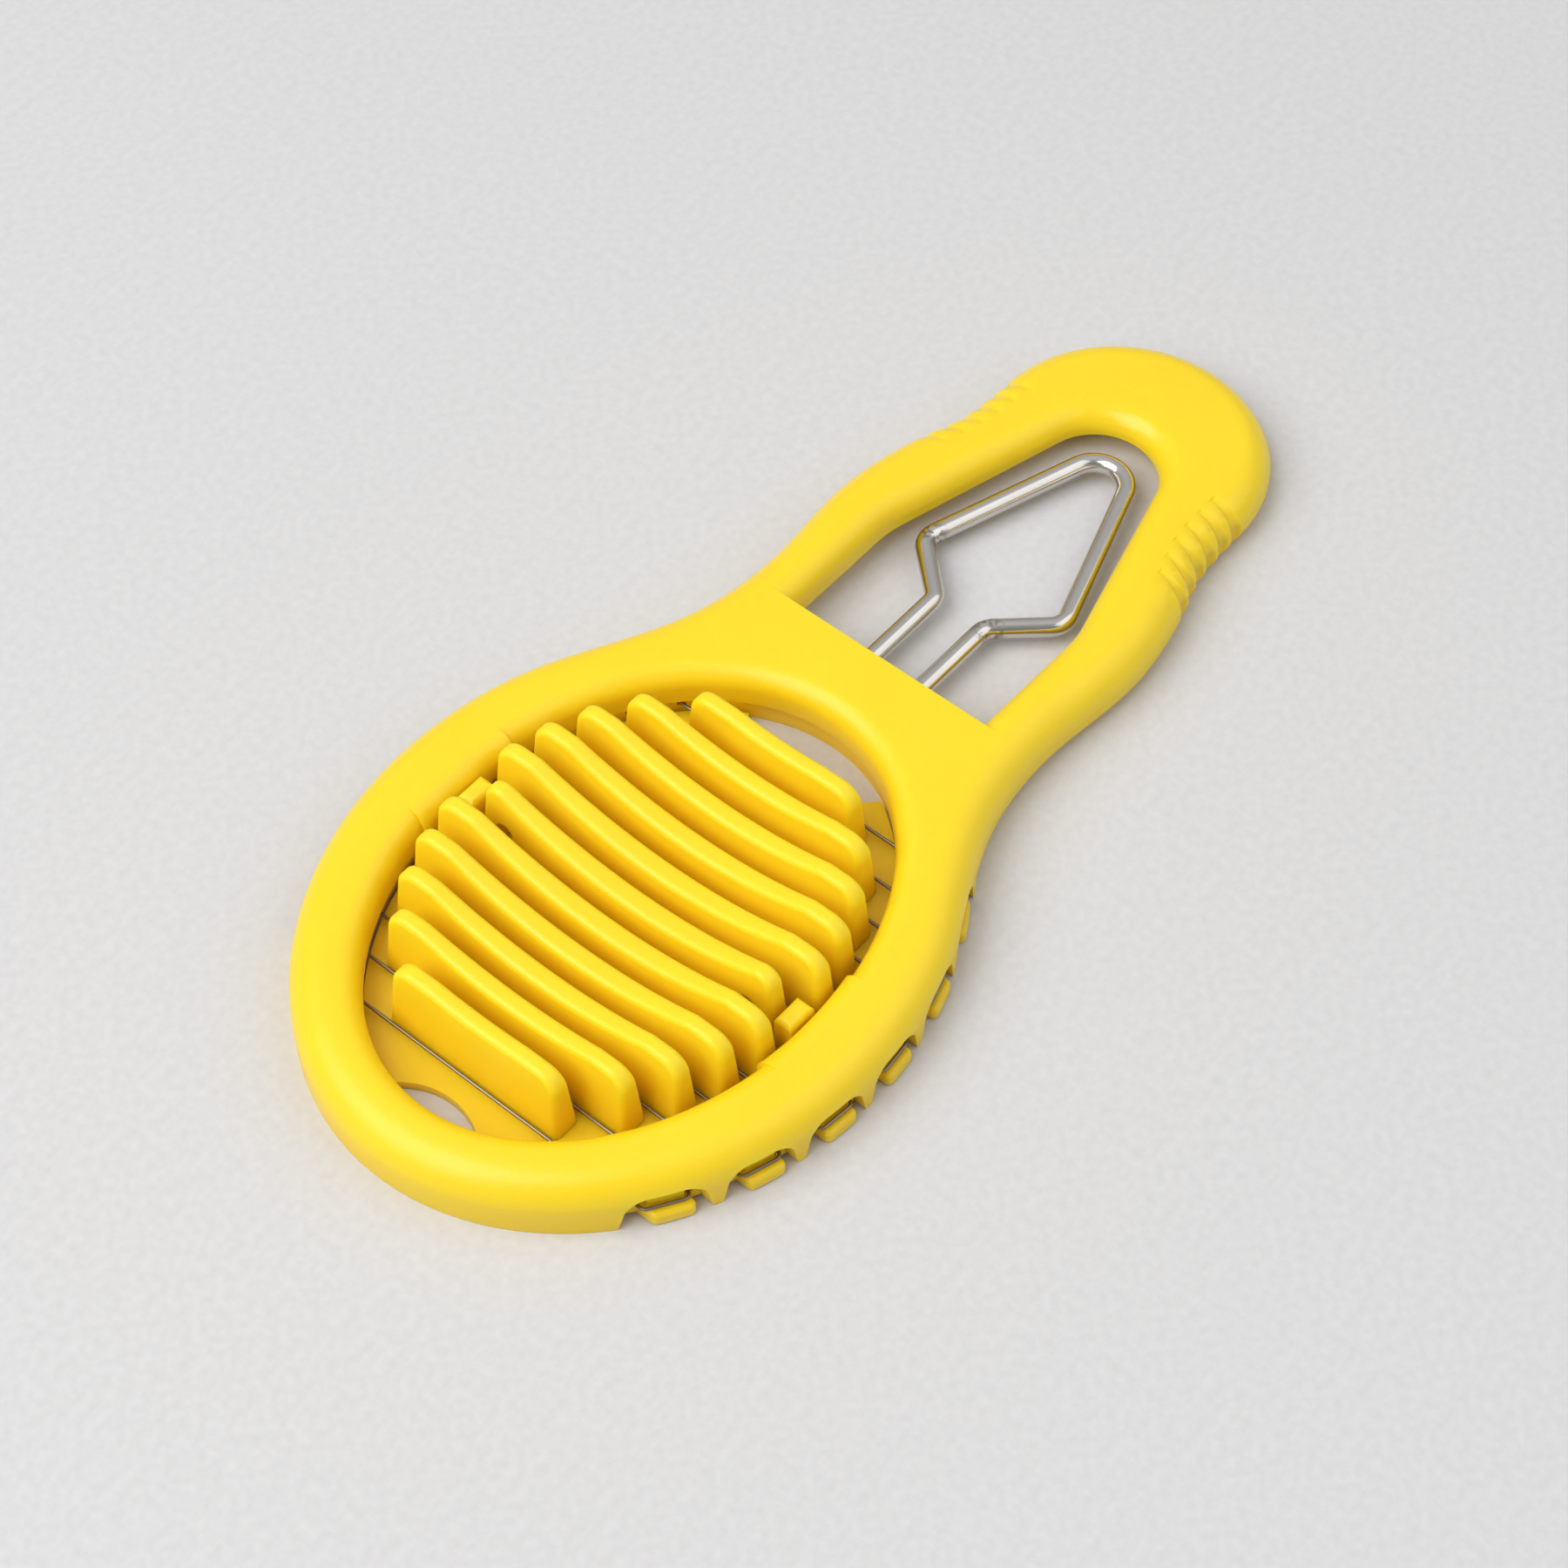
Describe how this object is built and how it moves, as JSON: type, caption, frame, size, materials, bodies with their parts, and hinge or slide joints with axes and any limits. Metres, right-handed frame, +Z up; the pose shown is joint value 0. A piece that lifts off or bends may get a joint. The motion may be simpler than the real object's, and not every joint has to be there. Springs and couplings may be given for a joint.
{
  "type": "egg slicer",
  "caption": "Hand-held egg slicer: an oval ring strung with parallel cutting wires over a finned egg cradle, with an open handle and a sprung wire loop.",
  "frame": {"origin": "on the resting plane, under the middle of the cutting ring", "axes": "+X along the tool towards the handle, +Y along the cutting wires, +Z up"},
  "size_m": [0.1828, 0.0851, 0.0134],
  "materials": {
    "yellow_plastic": "satin gloss moulding",
    "bright_steel": "drawn stainless wire, bright"
  },
  "bodies": {
    "cradle": {"cradle_base": "yellow_plastic", "cradle_fins": "yellow_plastic"},
    "frame": {"upper_frame": "yellow_plastic", "lower_frame": "yellow_plastic", "cutting_wire": "bright_steel", "wire_sleeves": "bright_steel"},
    "loop": {"wire_loop": "bright_steel"}
  },
  "joints": [
    {"name": "frame_lift", "type": "slide", "parent": "cradle", "child": "frame", "axis": [0, 0, 1], "range_m": [0, 0.06]},
    {"name": "loop_flex", "type": "hinge", "parent": "frame", "child": "loop", "pos_m": [0.0465, 0, 0.003], "axis": [0, -1, 0], "range_deg": [-2.5, 5], "stiffness_Nm_per_rad": 0.6}
  ]
}
